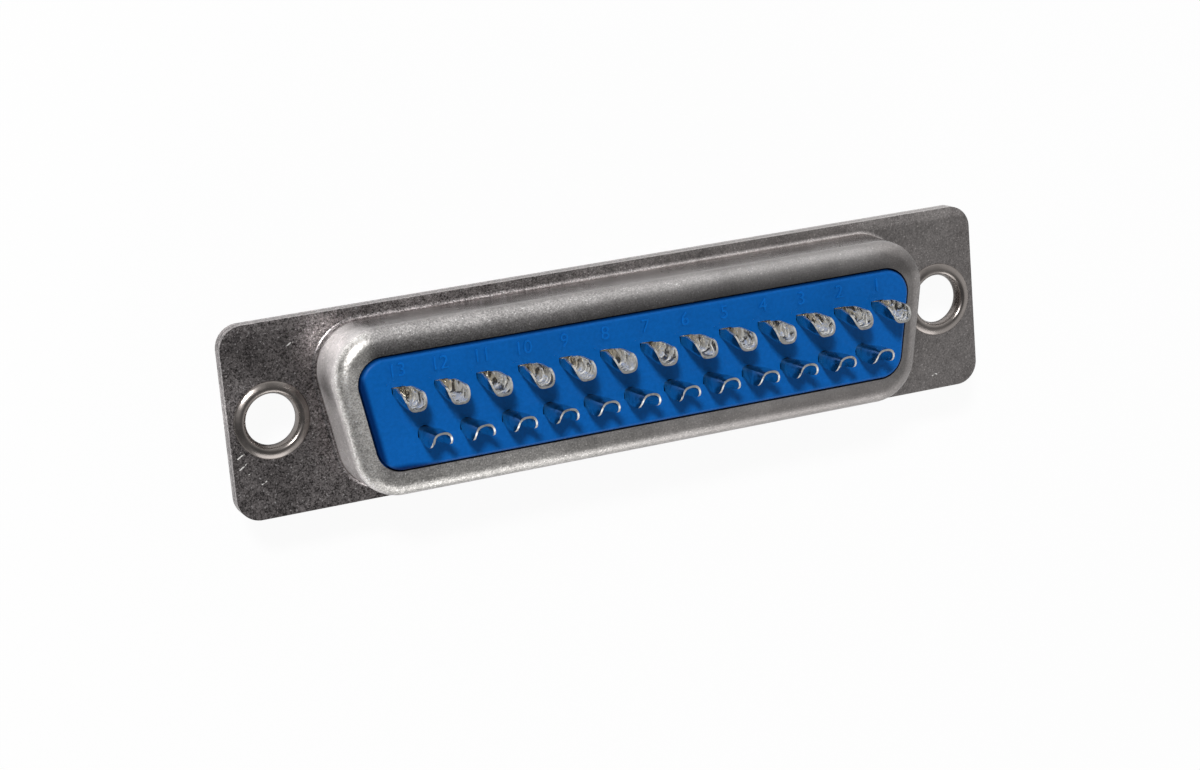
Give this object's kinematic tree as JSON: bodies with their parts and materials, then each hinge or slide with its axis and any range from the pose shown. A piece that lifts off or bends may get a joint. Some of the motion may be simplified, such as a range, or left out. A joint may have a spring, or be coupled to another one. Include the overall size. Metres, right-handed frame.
{
  "type": "d-sub connector",
  "caption": "Solder-cup D-sub plug: blue insulator in a plated steel D shell on a two-hole flange, with two rows of pins in a D-shaped mating shroud.",
  "frame": {"origin": "centre of the flange's front (panel) face, halfway between the two mounting holes", "axes": "+Z out of the solder side, -Z toward the mating connector; +X along the flange; +Y toward the wide side of the D, which holds the longer contact row"},
  "size_m": [0.0526, 0.0122, 0.0145],
  "materials": {
    "plated_steel": "dull bright-tin plating on drawn sheet, frosted on the bends",
    "plated_rivet": "bright plated, turned over at the rear",
    "contact_plating": "bright tin plating, warm tint",
    "blue_plastic": "satin moulded thermoplastic"
  },
  "bodies": {
    "root": {"front_shell": "plated_steel", "rear_shell": "plated_steel", "front_insulator": "blue_plastic", "rear_insulator": "blue_plastic", "eyelet_left": "plated_rivet", "eyelet_right": "plated_rivet", "contact_01": "contact_plating", "contact_02": "contact_plating", "contact_03": "contact_plating", "contact_04": "contact_plating", "contact_05": "contact_plating", "contact_06": "contact_plating", "contact_07": "contact_plating", "contact_08": "contact_plating", "contact_09": "contact_plating", "contact_10": "contact_plating", "contact_11": "contact_plating", "contact_12": "contact_plating", "contact_13": "contact_plating", "contact_14": "contact_plating", "contact_15": "contact_plating", "contact_16": "contact_plating", "contact_17": "contact_plating", "contact_18": "contact_plating", "contact_19": "contact_plating", "contact_20": "contact_plating", "contact_21": "contact_plating", "contact_22": "contact_plating", "contact_23": "contact_plating", "contact_24": "contact_plating", "contact_25": "contact_plating"}
  },
  "joints": []
}
